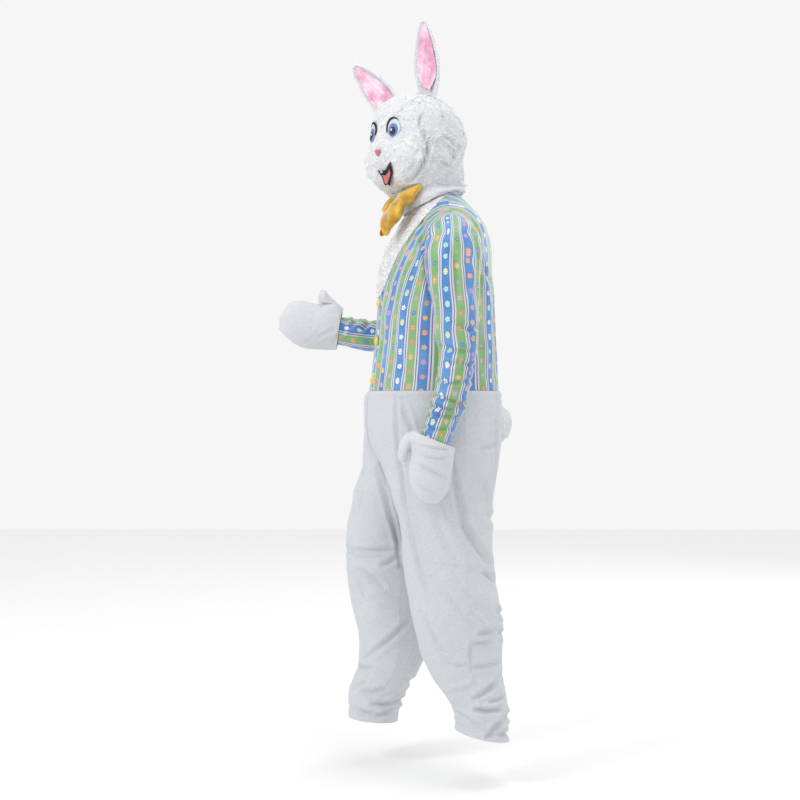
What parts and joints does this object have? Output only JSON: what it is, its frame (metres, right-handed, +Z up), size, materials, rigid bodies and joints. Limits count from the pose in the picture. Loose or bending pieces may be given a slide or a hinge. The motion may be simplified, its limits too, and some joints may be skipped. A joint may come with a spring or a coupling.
{
  "type": "bunny costume with plush head, striped jumpsuit, mittens and tail",
  "caption": "Rabbit costume as worn, hollow: print-top jumpsuit with plush trousers, collar and tail, plush rabbit head with ears, satin bow tie and mittens.",
  "frame": {"origin": "between the wearer's shoulders, on the trunk's own axis at the root of the neck", "axes": "+Z up along the wearer, -Y the way the wearer walks, +X the wearer's left"},
  "size_m": [0.682, 0.6515, 1.8953],
  "materials": {
    "white_plush": "short white plush",
    "print_satin": "striped egg print on light satin",
    "pink_satin": "glossy satin",
    "gold_satin": "glossy satin",
    "button_yellow": "glossy",
    "eye_white": "satin",
    "eye_blue": "satin",
    "eye_navy": "satin",
    "black_felt": "matt felt",
    "coral_felt": "matt felt",
    "nose_pink": "padded satin"
  },
  "bodies": {
    "root": {"bow_knot": "gold_satin", "bow_left": "gold_satin", "bow_right": "gold_satin", "button_lower": "button_yellow", "button_middle": "button_yellow", "button_upper": "button_yellow", "collar_left": "white_plush", "collar_right": "white_plush", "ear_left_plush": "white_plush", "ear_left_satin": "pink_satin", "ear_right_plush": "white_plush", "ear_right_satin": "pink_satin", "eye_left_glint": "eye_white", "eye_left_iris": "eye_blue", "eye_left_lid": "black_felt", "eye_left_pupil": "eye_navy", "eye_left_white": "eye_white", "eye_right_glint": "eye_white", "eye_right_iris": "eye_blue", "eye_right_lid": "black_felt", "eye_right_pupil": "eye_navy", "eye_right_white": "eye_white", "head_back_left": "white_plush", "head_back_right": "white_plush", "head_face": "white_plush", "head_skirt": "white_plush", "mitten_left_back": "white_plush", "mitten_left_palm": "white_plush", "mitten_right_back": "white_plush", "mitten_right_palm": "white_plush", "mouth": "black_felt", "nose": "nose_pink", "sleeve_left": "print_satin", "sleeve_right": "print_satin", "tail": "white_plush", "tongue": "coral_felt", "tooth_lower": "eye_white", "tooth_upper": "eye_white", "top_back_left": "print_satin", "top_back_right": "print_satin", "top_front_left": "print_satin", "top_front_right": "print_satin", "trousers_lower_back_left": "white_plush", "trousers_lower_back_right": "white_plush", "trousers_lower_front_left": "white_plush", "trousers_lower_front_right": "white_plush", "trousers_upper_back_left": "white_plush", "trousers_upper_back_right": "white_plush", "trousers_upper_front_left": "white_plush", "trousers_upper_front_right": "white_plush"}
  },
  "joints": []
}
